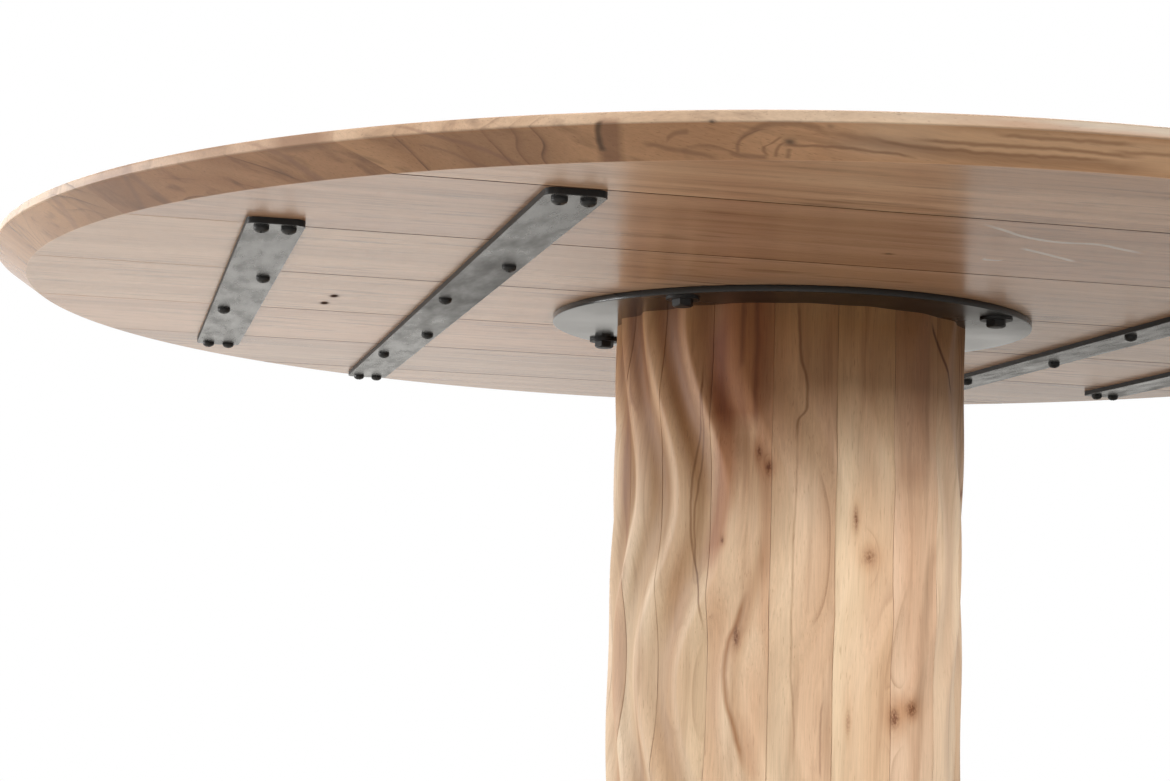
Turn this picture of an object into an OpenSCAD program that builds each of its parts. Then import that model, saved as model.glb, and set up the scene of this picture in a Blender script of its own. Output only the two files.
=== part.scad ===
// Round dining table: a plank top on a carved stave column.
// The frame stands on the floor at z = 0, with the column's axis on Z and the planks along X.

/* [Table] */
// Height from the floor to the top surface
table_h = 760; // [700:5:800]

/* [Plank top] */
// Diameter of the round top
top_d = 1500; // [1400:10:1700]
// Thickness of the planks
top_t = 27; // [24:0.5:36]
// Upright part of the rim, above the bevel
fascia_h = 7.7; // [5:0.1:12]
// How far the bevel under the rim runs inwards
bevel_w = 28; // [15:1:60]
// Easing of the rim's upper edge
rim_ease = 2; // [1:0.5:4]
// Easing of the arris between the rim and the bevel
arris_ease = 0.8; // [0.4:0.1:1.5]
// Width of one plank
plank_w = 220.6; // [200:0.2:232]

/* [Plank dowels] */
// Diameter of the dowels in the glued seams
dowel_d = 10; // [8:1:12]
// Length of a dowel
dowel_l = 60; // [40:5:80]
// Distance from the middle of a seam to its inner dowels
dowel_x_inner = 90; // [70:5:110]
// Distance from the middle of a seam to its middle dowels
dowel_x_middle = 250; // [220:5:280]
// Distance from the middle of a seam to its outer dowels
dowel_x_outer = 428; // [405:1:435]

/* [Steel bars] */
// Width of the flat bars under the top
bar_w = 45; // [40:1:50]
// Thickness of the flat bars
bar_t = 5; // [4:0.5:6]
// Radius of the bars' corners
bar_corner_r = 8; // [4:1:12]
// Length of the two long bars
long_bar_l = 1160; // [1100:10:1180]
// Half the distance between the middle lines of the long bars
long_bar_x = 332; // [320:1:345]
// How far the long bars sit towards +Y
long_bar_y = 30; // [20:1:35]
// Length of the two short bars
short_bar_l = 740; // [700:10:780]
// Half the distance between the middle lines of the short bars
short_bar_x = 524; // [515:1:535]
// How far the left short bar sits towards +Y
short_left_y = 10; // [0:1:15]
// How far the right short bar sits towards +Y
short_right_y = 20; // [0:1:25]
// How far all four bars sit towards -X
bar_shift = 4.5; // [0:0.5:8]
// Distance of the end screws from a bar's end
bar_end_inset = 14; // [12:1:16]
// Distance of every screw from a bar's middle line
bar_zigzag = 10.5; // [9:0.5:12]
// Where the single screws sit along the left long bar, as shares of its length
long_left_shares = [0.264, 0.436, 0.644, 0.797];
// Where the single screws sit along the right long bar, as shares of its length
long_right_shares = [0.256, 0.415, 0.601, 0.767];
// Where the single screws sit along a short bar, as shares of its length
short_bar_shares = [0.350, 0.628];

/* [Bar screws] */
// Diameter of the domed heads
head_d = 12; // [10:0.5:14]
// Height of the domed heads
head_h = 5; // [4:0.5:6]
// Diameter of the shanks
shank_d = 5; // [4:0.5:6]
// Depth that the screws reach into the planks
screw_grip = 17; // [14:1:20]

/* [Mounting plate] */
// Diameter of the steel plate between the column and the top
plate_d = 462; // [440:2:500]
// Thickness of the plate
plate_t = 6; // [5:0.5:8]
// Diameter of the circle of bolts that hold the top
bolt_circle_d = 424; // [410:2:426]
// Turn of the bolts from the planks' direction
bolt_turn = 45; // [40:1:50]
// Thread diameter of the bolts
bolt_d = 10; // [8:1:12]
// Height of a bolt's hexagon head
bolt_head_h = 6.4; // [5:0.1:8]
// Diameter of the washers
washer_d = 30; // [26:1:32]
// Thickness of the washers
washer_t = 2.5; // [2:0.5:3]
// Depth of the threaded inserts in the planks
insert_l = 18; // [15:1:20]
// Wall of a threaded insert
insert_wall = 2; // [1.5:0.5:3]

/* [Column] */
// Diameter of the column over the crests of the waves
col_d = 337; // [320:1:360]
// Number of staves
stave_count = 18; // [16:1:20]
// Thickness of a stave at a crest
stave_t = 28; // [24:1:36]
// Turn of the first seam from the planks' direction
stave_turn = 7.1; // [0:0.1:19]
// Mean depth of the carved hollows
wave_depth = 5.2; // [2:0.2:6]
// How much deeper the hollows are at the sides, and shallower in front, as a share
wave_uneven = 0.4; // [0:0.05:0.5]
// Turn of the deepest hollows from the planks' direction
deep_turn = 205; // [160:5:220]
// Number of carved crests round the column
wave_count = 19; // [17:1:21]
// Swing of a crest to each side, in degrees round the column
wave_swing = 9; // [4:0.25:12]
// Height in which a crest swings there and back
wave_len = 335; // [280:5:380]
// Height above the floor of a crest's widest swing
wave_z = 545; // [500:5:640]
// How far the swings lag behind one another round the column, in degrees of a swing
wave_lag = 45; // [0:5:60]
// Turn of the place where the lag is nil, from the planks' direction
lag_turn = 225; // [180:5:270]
// Turn of the crests' middle line from the planks' direction
wave_turn = 18; // [0:0.25:19]
// Sharpness of the crests, from 1, a sharp arris, to 2, a soft ripple
wave_power = 1.4; // [1:0.1:2]
// Thickness of the wooden discs in the column's ends
disc_t = 30; // [24:1:36]

/* [Foot] */
// Diameter of the steel foot plate
foot_d = 700; // [620:10:760]
// Thickness of the foot plate
foot_t = 8; // [6:0.5:12]
// Chamfer round the foot plate's upper edge
foot_chamfer = 2; // [1:0.5:3]
// Diameter of a floor glide
glide_d = 40; // [30:1:50]
// Thickness of a floor glide
glide_t = 3; // [2:0.5:5]
// Number of floor glides
glide_count = 8; // [6:1:12]
// Distance of the glides from the foot plate's edge
glide_inset = 12; // [8:1:20]

/* [Countersunk screws] */
// Number of screws that hold each disc to its plate
csk_count = 8; // [6:1:10]
// Diameter of their circle
csk_circle_d = 210; // [190:5:230]
// Diameter of their heads
csk_head_d = 12; // [11:0.5:14]
// Diameter of their shanks
csk_shank_d = 6; // [5:0.5:6]
// Depth that they reach into a disc
csk_grip = 24; // [18:1:24]

/* [Fits] */
// Play between a screw or bolt and its hole in steel, on the diameter
hole_play = 1; // [0.4:0.1:1.5]
// Play between a shank, dowel or insert and its hole, on the diameter
thread_play = 0.2; // [0.1:0.05:0.4]
// Glue line between the discs and the staves
glue_line = 0.1; // [0.05:0.05:0.3]

/* [Hidden] */
$fn = 72;
plank_count = 7;
under_z = table_h - top_t;
plate_z = under_z - plate_t;
bar_z = under_z - bar_t;
foot_z = glide_t;
col_z = foot_z + foot_t;
col_h = plate_z - col_z;
col_r = col_d / 2;
stave_pitch = 360 / stave_count;
inner_r = col_r - stave_t;
inner_corner_r = inner_r / cos(stave_pitch / 2);
wave_pitch = 360 / wave_count;
dowel_z = under_z + top_t / 2;
dowel_xs = [for (side = [-1, 1], x = [dowel_x_inner, dowel_x_middle, dowel_x_outer]) side * x];
seam_ys = [for (i = [1 : plank_count - 1]) (i - plank_count / 2) * plank_w];
insert_d = bolt_d + 2 * insert_wall;
bolt_grip = insert_l - 2;
bolt_angles = [for (i = [0 : 3]) bolt_turn + 90 * i];
bolt_places = [for (a = bolt_angles) [cos(a), sin(a)] * bolt_circle_d / 2];
csk_angles = [for (i = [0 : csk_count - 1]) 360 * (i + 0.5) / csk_count];
csk_head_h = (csk_head_d - csk_shank_d) / 2;
wave_cells = 8;
wave_rows = 30;
arc_steps = 6;
steel = "#2a2826";
zinc = "#b9b4a6";
plank_tints = ["#c9a27c", "#bf9870", "#cda887", "#c49c76", "#c7a07a", "#bd946d", "#cba582"];
stave_tints = ["#d9b58c", "#cfa67c", "#dcbb94", "#d2ab83", "#c99f77", "#d6b189"];

// Screw places of one bar, from its own middle: a pair at each end and a zigzag between them.
function bar_screw_places(len, shares) = let (end_y = len / 2 - bar_end_inset) concat(
    [for (x = [-1, 1], y = [-1, 1]) [x * bar_zigzag, y * end_y]],
    [for (i = [0 : len(shares) - 1]) [(i % 2 == 0 ? 1 : -1) * bar_zigzag, (shares[i] - 0.5) * len]]
);

// The left bars lie as drawn, and the right ones are turned end for end.
function placed(points, side, x, y) = [for (p = points) [side * (x - p.x) - bar_shift, y - side * p.y]];
long_left_places = bar_screw_places(long_bar_l, long_left_shares);
long_right_places = bar_screw_places(long_bar_l, long_right_shares);
short_places = bar_screw_places(short_bar_l, short_bar_shares);
bar_screw_xy = concat(
    placed(long_left_places, -1, long_bar_x, long_bar_y),
    placed(long_right_places, 1, long_bar_x, long_bar_y),
    placed(short_places, -1, short_bar_x, short_left_y),
    placed(short_places, 1, short_bar_x, short_right_y)
);

// Quarter arc about (cx, cy) from angle a0, as points.
function arc(cx, cy, r, a0, a1) =
    [for (i = [0 : arc_steps]) let (a = a0 + (a1 - a0) * i / arc_steps) [cx + r * cos(a), cy + r * sin(a)]];

// Section of the round top: flat underside, bevel, upright rim and an eased upper edge.
module top_section() {
    r = top_d / 2;
    bevel_a = atan2(top_t - fascia_h, bevel_w);
    arris_r = arris_ease / tan((90 - bevel_a) / 2);
    polygon(concat(
        [[0, 0], [r - bevel_w, 0]],
        arc(r - arris_r, top_t - fascia_h + arris_ease, arris_r, bevel_a - 90, 0),
        arc(r - rim_ease, top_t - rim_ease, rim_ease, 0, 90),
        [[0, top_t]]
    ));
}

module round_top() translate([0, 0, under_z]) rotate_extrude($fn = 180) top_section();

// Hole that runs up from the underside of the top.
module up_hole(xy, d, depth) translate([xy.x, xy.y, under_z - 1]) cylinder(d = d, h = depth + 1);

module plank(i) {
    lo = i == 0 ? -top_d / 2 - 1 : seam_ys[i - 1];
    hi = i == plank_count - 1 ? top_d / 2 + 1 : seam_ys[i];
    reach = insert_d;
    color(plank_tints[i]) difference() {
        intersection() {
            round_top();
            translate([-top_d / 2 - 1, lo, under_z - 1]) cube([top_d + 2, hi - lo, top_t + 2]);
        }
        for (p = bar_screw_xy) if (p.y > lo - reach && p.y < hi + reach)
            up_hole(p, shank_d + thread_play, screw_grip + 1);
        for (p = bolt_places) if (p.y > lo - reach && p.y < hi + reach)
            up_hole(p, insert_d + thread_play, insert_l);
        for (y = seam_ys, x = dowel_xs) if (y == lo || y == hi)
            translate([x, y, dowel_z]) rotate([90, 0, 0])
                cylinder(d = dowel_d + thread_play, h = dowel_l + 1, center = true);
    }
}

module plank_dowels() color("tan")
    for (y = seam_ys, x = dowel_xs)
        translate([x, y, dowel_z]) rotate([90, 0, 0]) cylinder(d = dowel_d, h = dowel_l, center = true);

// Flat bar with rounded corners and a hole for every screw, about its own middle.
module bar(len, shares) color(steel) {
    inner = [bar_w - 2 * bar_corner_r, len - 2 * bar_corner_r];
    difference() {
        linear_extrude(bar_t) union() {
            square([inner.x, len], center = true);
            square([bar_w, inner.y], center = true);
            for (x = [-1, 1], y = [-1, 1]) translate([x * inner.x / 2, y * inner.y / 2]) circle(bar_corner_r);
        }
        for (p = bar_screw_places(len, shares))
            translate([p.x, p.y, -1]) cylinder(d = shank_d + hole_play, h = bar_t + 2);
    }
}

module left_bar(len, shares, x, y) translate([-x - bar_shift, y, bar_z]) bar(len, shares);
module right_bar(len, shares, x, y) translate([x - bar_shift, y, bar_z]) rotate(180) bar(len, shares);
module long_bar_left() left_bar(long_bar_l, long_left_shares, long_bar_x, long_bar_y);
module long_bar_right() right_bar(long_bar_l, long_right_shares, long_bar_x, long_bar_y);
module short_bar_left() left_bar(short_bar_l, short_bar_shares, short_bar_x, short_left_y);
module short_bar_right() right_bar(short_bar_l, short_bar_shares, short_bar_x, short_right_y);

// Wood screw with a domed head below z = 0 and its point upwards.
module dome_screw(grip) {
    edge_h = head_h * 0.3;
    tip_h = shank_d;
    difference() {
        rotate_extrude() polygon(concat(
            [[0, -head_h]],
            [for (i = [1 : arc_steps]) let (a = 90 * i / arc_steps)
                [head_d / 2 * sin(a), -edge_h - (head_h - edge_h) * cos(a)]],
            [[head_d / 2, 0], [shank_d / 2, 0], [shank_d / 2, grip - tip_h], [0, grip]]
        ));
        for (a = [0, 90]) rotate(a) translate([0, 0, -head_h])
            cube([head_d * 0.5, head_d * 0.12, head_h * 0.8], center = true);
    }
}

module bar_screws() color("#1d1c1b")
    for (p = bar_screw_xy) translate([p.x, p.y, bar_z]) dome_screw(bar_t + screw_grip);

// Screw with a countersunk head, flush at z = 0, and its point upwards.
module csk_screw(grip) {
    tip_h = csk_shank_d;
    rotate_extrude() polygon([
        [0, 0], [csk_head_d / 2, 0], [csk_shank_d / 2, csk_head_h],
        [csk_shank_d / 2, grip - tip_h], [0, grip]
    ]);
}

// Countersunk through hole in a plate whose outer face is at z = 0.
module csk_hole(t) {
    r = (csk_shank_d + hole_play) / 2;
    head_r = (csk_head_d + hole_play / 2) / 2;
    translate([0, 0, -1]) cylinder(r = r, h = t + 2);
    cylinder(r1 = head_r, r2 = r, h = head_r - r);
    translate([0, 0, -1]) cylinder(r = head_r, h = 1);
}

// The column's two plates take the same ring of countersunk screws.
module csk_ring() for (a = csk_angles) rotate(a) translate([csk_circle_d / 2, 0, 0]) children();

module mounting_plate() color(steel) difference() {
    translate([0, 0, plate_z]) cylinder(d = plate_d, h = plate_t, $fn = 180);
    for (p = bolt_places) translate([p.x, p.y, plate_z - 1])
        cylinder(d = bolt_d + hole_play, h = plate_t + 2);
    translate([0, 0, under_z]) mirror([0, 0, 1]) csk_ring() csk_hole(plate_t);
}

module plate_screws() color(zinc)
    translate([0, 0, under_z]) mirror([0, 0, 1]) csk_ring() csk_screw(plate_t + csk_grip);

// Hexagon bolt with its head below z = 0, crowned by a chamfer.
module hex_bolt(grip) {
    across = 1.7 * bolt_d;
    corner_r = across / sqrt(3);
    intersection() {
        translate([0, 0, -bolt_head_h]) cylinder(r = corner_r, h = bolt_head_h, $fn = 6);
        rotate_extrude() polygon([
            [0, -bolt_head_h], [across * 0.42, -bolt_head_h], [corner_r, -bolt_head_h * 0.75],
            [corner_r, 0], [0, 0]
        ]);
    }
    cylinder(d = bolt_d, h = grip);
}

module plate_bolts() color("#1d1c1b")
    for (p = bolt_places) translate([p.x, p.y, plate_z - washer_t])
        hex_bolt(washer_t + plate_t + bolt_grip);

module plate_washers() color("#1d1c1b")
    for (p = bolt_places) translate([p.x, p.y, plate_z - washer_t]) difference() {
        cylinder(d = washer_d, h = washer_t);
        translate([0, 0, -1]) cylinder(d = bolt_d + hole_play, h = washer_t + 2);
    }

module threaded_inserts() color(zinc)
    for (p = bolt_places) translate([p.x, p.y, under_z]) difference() {
        cylinder(d = insert_d, h = insert_l);
        translate([0, 0, -1]) cylinder(d = bolt_d + thread_play, h = insert_l + 2);
    }

// Radius of the carved face: crests at the full radius, hollows between them,
// and every crest swinging from side to side as it climbs.
function crest_turn(a, z) =
    wave_turn + wave_swing * cos(360 * (z - wave_z) / wave_len + wave_lag * sin(a - lag_turn));
function carved_r(a, z) =
    let (depth = wave_depth * (1 + wave_uneven * cos(2 * (a - deep_turn))))
    col_r - depth * pow(abs(sin(180 * (a - crest_turn(a, z)) / wave_pitch)), wave_power);

// One stave: the carved outer face as a grid of triangles, radial sides and a flat inner face in strips.
module stave(k) {
    angle = function (j) stave_turn + (k + j / wave_cells) * stave_pitch;
    height = function (i) col_z + col_h * i / wave_rows;
    outer = [for (i = [0 : wave_rows], j = [0 : wave_cells])
        let (a = angle(j), z = height(i), r = carved_r(a, z)) [r * cos(a), r * sin(a), z]];
    inner = [for (i = [0 : wave_rows], j = [0, wave_cells])
        let (a = angle(j)) [inner_corner_r * cos(a), inner_corner_r * sin(a), height(i)]];
    at = function (i, j) i * (wave_cells + 1) + j;
    in = function (i, side) len(outer) + 2 * i + side;
    quad = function (p, q, r, s) [[p, q, r], [p, r, s]];
    n = wave_cells;
    near = function (j) j < n / 2 ? 0 : 1;
    top = wave_rows;
    faces = concat(
        [for (i = [0 : top - 1], j = [0 : n - 1])
            each quad(at(i, j), at(i + 1, j), at(i + 1, j + 1), at(i, j + 1))],
        [for (i = [0 : top - 1]) each concat(
            quad(at(i + 1, 0), at(i, 0), in(i, 0), in(i + 1, 0)),
            quad(at(i, n), at(i + 1, n), in(i + 1, 1), in(i, 1)),
            quad(in(i, 1), in(i + 1, 1), in(i + 1, 0), in(i, 0)))],
        [for (j = [0 : n - 1]) each [
            [at(0, j), at(0, j + 1), in(0, near(j))],
            [at(top, j + 1), at(top, j), in(top, near(j))]]],
        [[at(0, n / 2), in(0, 1), in(0, 0)], [in(top, 0), in(top, 1), at(top, n / 2)]]
    );
    color(stave_tints[k % len(stave_tints)]) polyhedron(concat(outer, inner), faces);
}

// Disc with one flat for each stave, to be glued inside the column, and pilot holes for the screws.
module end_disc(z, pilot_z, pilot_l) {
    flat_r = inner_r - glue_line;
    color("burlywood") difference() {
        translate([0, 0, z]) linear_extrude(disc_t) rotate(stave_turn)
            polygon([for (k = [0 : stave_count - 1])
                flat_r / cos(stave_pitch / 2) * [cos(k * stave_pitch), sin(k * stave_pitch)]]);
        translate([0, 0, pilot_z]) csk_ring() cylinder(d = csk_shank_d + thread_play, h = pilot_l);
    }
}

module column_top_disc()
    end_disc(plate_z - disc_t, plate_z - csk_grip - 1, csk_grip + 2);

module column_bottom_disc()
    end_disc(col_z, col_z - 1, csk_grip + 2);

module foot_plate() color(steel) difference() {
    translate([0, 0, foot_z]) rotate_extrude($fn = 180) polygon([
        [0, 0], [foot_d / 2, 0], [foot_d / 2, foot_t - foot_chamfer],
        [foot_d / 2 - foot_chamfer, foot_t], [0, foot_t]
    ]);
    translate([0, 0, foot_z]) csk_ring() csk_hole(foot_t);
}

module foot_screws() color(zinc)
    translate([0, 0, foot_z]) csk_ring() csk_screw(foot_t + csk_grip);

module floor_glides() color("#3a3836")
    for (k = [0 : glide_count - 1]) rotate(360 * (k + 0.5) / glide_count)
        translate([foot_d / 2 - glide_inset - glide_d / 2, 0, 0]) cylinder(d = glide_d, h = glide_t);

for (i = [1 : plank_count]) plank(i - 1);
plank_dowels();
long_bar_left();
long_bar_right();
short_bar_left();
short_bar_right();
bar_screws();
mounting_plate();
plate_bolts();
plate_washers();
threaded_inserts();
plate_screws();
column_top_disc();
for (k = [1 : stave_count]) stave(k - 1);
column_bottom_disc();
foot_plate();
foot_screws();
floor_glides();
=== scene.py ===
from math import atan2, cos, exp, pi, radians, sin, tan

import bmesh
import bpy
from mathutils import Matrix, Vector, noise


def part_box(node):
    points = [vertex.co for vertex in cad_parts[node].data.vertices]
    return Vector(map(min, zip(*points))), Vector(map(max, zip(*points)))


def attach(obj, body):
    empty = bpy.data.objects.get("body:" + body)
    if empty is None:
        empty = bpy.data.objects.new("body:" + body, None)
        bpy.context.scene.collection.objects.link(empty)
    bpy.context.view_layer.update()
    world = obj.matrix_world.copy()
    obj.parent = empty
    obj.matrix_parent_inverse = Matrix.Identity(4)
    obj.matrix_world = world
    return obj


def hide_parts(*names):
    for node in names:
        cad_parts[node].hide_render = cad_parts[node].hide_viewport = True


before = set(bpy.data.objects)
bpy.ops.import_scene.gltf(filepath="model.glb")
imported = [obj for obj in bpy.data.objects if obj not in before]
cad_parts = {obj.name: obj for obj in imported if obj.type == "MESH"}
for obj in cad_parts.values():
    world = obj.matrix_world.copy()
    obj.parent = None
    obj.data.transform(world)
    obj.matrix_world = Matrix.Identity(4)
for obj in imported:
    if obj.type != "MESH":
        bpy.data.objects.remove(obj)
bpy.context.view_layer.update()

# Camera: low beside the table, looking up at the underside of the top and the head of the column.
# The long lens and the slight tilt to one side are those of the photograph.
lens = bpy.data.cameras.new("camera")
lens.sensor_width = 36
lens.lens = 66.76
camera = bpy.data.objects.new("camera", lens)
camera.matrix_world = (
    Matrix.Translation((-0.65638, -1.99687, 0.42417))
    @ Matrix.Rotation(radians(-12.80), 4, "Z")
    @ Matrix.Rotation(radians(96.457), 4, "X")
    @ Matrix.Rotation(radians(1.736), 4, "Z")
)
bpy.context.scene.collection.objects.link(camera)
bpy.context.scene.camera = camera
bpy.context.scene.view_settings.view_transform = "Standard"


# Studio: a pale floor that fades to white away from the table, and a white surround. The light is
# soft and comes low from the front, so that the top keeps it off the head of the column.
def add(tree, kind, *values, out=0, **named):
    """Adds a node: values and Capital names go to its sockets, other names to its settings."""
    made = tree.nodes.new(kind if kind.startswith("Node") else "ShaderNode" + kind)
    for name, value in named.items():
        if name[0].islower():
            setattr(made, name, value)
    wanted = list(zip(made.inputs, values))
    wanted += [(made.inputs[n.replace("_", " ")], v) for n, v in named.items() if n[0].isupper()]
    for socket, value in wanted:
        if isinstance(value, bpy.types.NodeSocket):
            tree.links.new(value, socket)
        elif value is not None:
            socket.default_value = value
    return made.outputs[out] if made.outputs and out is not None else made


def colour(code):
    """Linear colour of an sRGB hex code."""
    parts = [int(code[i : i + 2], 16) / 255 for i in (1, 3, 5)]
    return [c / 12.92 if c <= 0.04045 else ((c + 0.055) / 1.055) ** 2.4 for c in parts] + [1]


def background_rays(tree):
    """1 for rays from the camera, off a gloss or through glass, which see the white surround."""
    path = add(tree, "LightPath", out=None)
    straight = path.outputs["Is Camera Ray"]
    gloss = path.outputs["Is Glossy Ray"]
    either = add(tree, "Math", straight, gloss, operation="MAXIMUM")
    return add(tree, "Math", either, path.outputs["Is Transmission Ray"], operation="MAXIMUM")


def spot(tree, place, centre, size):
    """Soft spot: 1 at its centre, a third at its size and 0 far from it."""
    off = add(tree, "VectorMath", place, centre, operation="SUBTRACT")
    off = add(tree, "VectorMath", off, [1 / s for s in size], operation="MULTIPLY")
    far = add(tree, "VectorMath", off, off, operation="DOT_PRODUCT", out=1)
    far = add(tree, "Math", far, -1.0, operation="MULTIPLY")
    return add(tree, "Math", far, operation="EXPONENT")


def empty_finish(name):
    """Material whose node tree is empty."""
    made = bpy.data.materials.new(name)
    made.use_nodes = True
    made.node_tree.nodes.clear()
    return made


surround = bpy.data.worlds.new("white surround")
surround.use_nodes = True
sky = surround.node_tree
sky.nodes.clear()
ambient = add(sky, "Background", colour("#ffffff"), 0.05)
white = add(sky, "Background", colour("#ffffff"), 1.0)
add(sky, "OutputWorld", add(sky, "MixShader", background_rays(sky), ambient, white))
bpy.context.scene.world = surround

studio_floor = empty_finish("pale studio floor")
floor_tree = studio_floor.node_tree
floor_place = add(floor_tree, "TexCoord", out=3)
distance = add(floor_tree, "VectorMath", floor_place, operation="LENGTH", out=1)
fade = add(
    floor_tree, "MapRange", distance, From_Min=2.6, From_Max=4.0, interpolation_type="SMOOTHSTEP"
)
# The eye sees the floor white. A gloss shows a room that is dimmer at the back right.
gloss_ray = add(floor_tree, "LightPath", out=None).outputs["Is Glossy Ray"]
compass = add(floor_tree, "SeparateXYZ", floor_place, out=None).outputs
bearing = add(floor_tree, "Math", compass[0], compass[1], operation="ARCTAN2")
far_off = add(floor_tree, "MapRange", distance, 4.2, 5.1)
right_start = add(floor_tree, "MapRange", far_off, To_Min=radians(3), To_Max=radians(9))
right_end = add(floor_tree, "MapRange", far_off, To_Min=radians(13), To_Max=radians(17))
to_right = add(floor_tree, "MapRange", bearing, right_start, right_end)
right_room = add(floor_tree, "MixRGB", far_off, colour("#a29e98"), colour("#f6f3ed"))
room = add(floor_tree, "MixRGB", to_right, colour("#fffcf6"), right_room)
# A painted dim patch on the floor behind the table, seen only in the gloss, is painted shade in the
# reflections of the room.
dim = spot(floor_tree, floor_place, (0.1, 3.75, 0), (0.26, 0.32, 1))
dim = add(floor_tree, "Math", dim, 0.3, operation="MULTIPLY")
room = add(floor_tree, "MixRGB", dim, room, colour("#000000"))
room = add(floor_tree, "MixRGB", gloss_ray, colour("#ffffff"), room)
bright = add(floor_tree, "Emission", room)
# The bounce of the near floor is held down, as in a large room, and more so at the right.
eye_rays = background_rays(floor_tree)
pale = add(floor_tree, "MixRGB", gloss_ray, colour("#f2f2f2"), colour("#dcdcdc"))
at_left = add(floor_tree, "MapRange", compass[0], 0.2, -1.2)
bounce = add(floor_tree, "MixRGB", at_left, colour("#868686"), colour("#b8b8b8"))
floor_colour = add(floor_tree, "MixRGB", eye_rays, bounce, pale)
floor_colour = add(floor_tree, "VectorMath", floor_colour, room, operation="MULTIPLY")
matt = add(floor_tree, "BsdfDiffuse", floor_colour)
far_rays = add(floor_tree, "Math", fade, eye_rays, operation="MULTIPLY")
add(floor_tree, "OutputMaterial", add(floor_tree, "MixShader", far_rays, matt, bright))

FLOOR_R = 16
shape = bmesh.new()
bmesh.ops.create_circle(shape, cap_ends=True, segments=96, radius=FLOOR_R)
mesh = bpy.data.meshes.new("floor")
shape.to_mesh(mesh)
floor = bpy.data.objects.new("floor", mesh)
# It lies a hair below the glides, so that no two faces share a plane.
floor.location.z = -0.0003
mesh.materials.append(studio_floor)
bpy.context.scene.collection.objects.link(floor)

LIT_POINT = Vector((0, 0, 0.5))
LAMP_FAR = 5
lamps = {
    # name: direction and height of its middle in degrees, width, height, watts
    "front_right": (-70, 15.5, 2.6, 1.1, 244),
    "front_left": (-148, 24, 2.6, 1.6, 70),
    "left": (159, 5.5, 1.4, 1.0, 166),
    "back": (62, 20, 3.2, 1.4, 150),
    "back_left": (118, 20, 3.2, 1.4, 80),
    "overhead": (90, 90, 2.6, 2.6, 110),
}
for name, (direction, rise, width, height, watts) in lamps.items():
    lamp = bpy.data.lights.new(name, "AREA")
    lamp.shape = "RECTANGLE"
    lamp.size = width
    lamp.size_y = height
    lamp.energy = watts
    turned = Matrix.Rotation(radians(direction), 3, "Z") @ Matrix.Rotation(radians(-rise), 3, "Y")
    aim = turned @ Vector((1, 0, 0))
    holder = bpy.data.objects.new(name, lamp)
    holder.location = LIT_POINT + LAMP_FAR * aim
    holder.rotation_euler = (-aim).to_track_quat("-Z", "Y").to_euler()
    bpy.context.scene.collection.objects.link(holder)

# Plank top: seven solid acacia planks glued edge to edge, then cut round, with an upright rim and
# a wide bevel under it, both planed. A satin lacquer covers every face and lets the seams show.
TOP_R = 0.750
UNDER_Z = 0.733
TOP_Z = 0.760
FASCIA_H = 0.0077
BEVEL_W = 0.028
RIM_EASE = 0.002
ARRIS_EASE = 0.0008
PLANK_W = 0.2206
PLANK_COUNT = 7
SEAM_EASE = 0.0011
# The same in mm, for the grain, which is drawn in mm.
TOP_MM = 1000 * TOP_Z
UNDER_MM = 1000 * UNDER_Z
RIM_MM = 1000 * TOP_R
BEVEL_MM = 1000 * (TOP_R - BEVEL_W)
PLANK_MM = 1000 * PLANK_W

grain = bpy.data.node_groups.new("acacia grain", "ShaderNodeTree")
for label, kind in (
    ("Place", "NodeSocketVector"),
    ("Seed", "NodeSocketFloat"),
    ("Light", "NodeSocketColor"),
    ("Deep", "NodeSocketColor"),
    ("Line", "NodeSocketColor"),
    ("Contrast", "NodeSocketFloat"),
    ("Knot", "NodeSocketFloat"),
):
    grain.interface.new_socket(name=label, in_out="INPUT", socket_type=kind)
for label, kind in (("Colour", "NodeSocketColor"), ("Height", "NodeSocketFloat")):
    grain.interface.new_socket(name=label, in_out="OUTPUT", socket_type=kind)
given = add(grain, "NodeGroupInput", out=None)
seed_shift = add(grain, "VectorMath", given.outputs["Seed"], (7310, 970, 0), operation="MULTIPLY")
place = add(grain, "VectorMath", given.outputs["Place"], seed_shift, operation="ADD")
# The trunk wanders: in mm, bends of about 30 over a length of 700.
slow = add(grain, "VectorMath", place, (1 / 700, 1 / 80, 1 / 80), operation="MULTIPLY")
wander = add(grain, "TexNoise", Vector=slow, Scale=1.0, Detail=2.0, Roughness=0.45, out=1)
wander = add(grain, "VectorMath", wander, (0.5, 0.5, 0.5), operation="SUBTRACT")
wander = add(grain, "VectorMath", wander, (0, 46, 46), operation="MULTIPLY")
bent = add(grain, "VectorMath", given.outputs["Place"], wander, operation="ADD")
across = add(grain, "VectorMath", bent, (0, 1, 1), operation="MULTIPLY")
radius = add(grain, "VectorMath", across, operation="LENGTH", out=1)
# A knot lifts the rings, in mm, so that they close round it.
radius = add(grain, "Math", radius, given.outputs["Knot"], operation="ADD")
# Growth rings are 7 mm apart, and only some end in a dark line.
ring = add(grain, "Math", radius, 1 / 7, operation="MULTIPLY")
ring_share = add(grain, "Math", ring, operation="FRACT")
ring_number = add(grain, "Math", ring, operation="FLOOR")
ring_number = add(grain, "Math", given.outputs["Seed"], 91.0, ring_number, operation="MULTIPLY_ADD")
ring_luck = add(grain, "TexWhiteNoise", W=ring_number, noise_dimensions="1D")
ring_luck = add(grain, "Math", ring_luck, 2.6, operation="POWER")
ring_rise = add(grain, "Math", ring_share, 7.0, operation="POWER")
ring_fall = add(grain, "MapRange", ring_share, 0.93, 1.0, 1.0, 0.0)
line = add(grain, "Math", ring_rise, ring_fall, operation="MULTIPLY")
line = add(grain, "Math", line, ring_luck, operation="MULTIPLY")
patch = add(grain, "TexNoise", Vector=slow, Scale=2.3, Detail=1.0)
patch = add(grain, "MapRange", patch, 0.42, 0.64, 0.0, 1.7)
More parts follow.
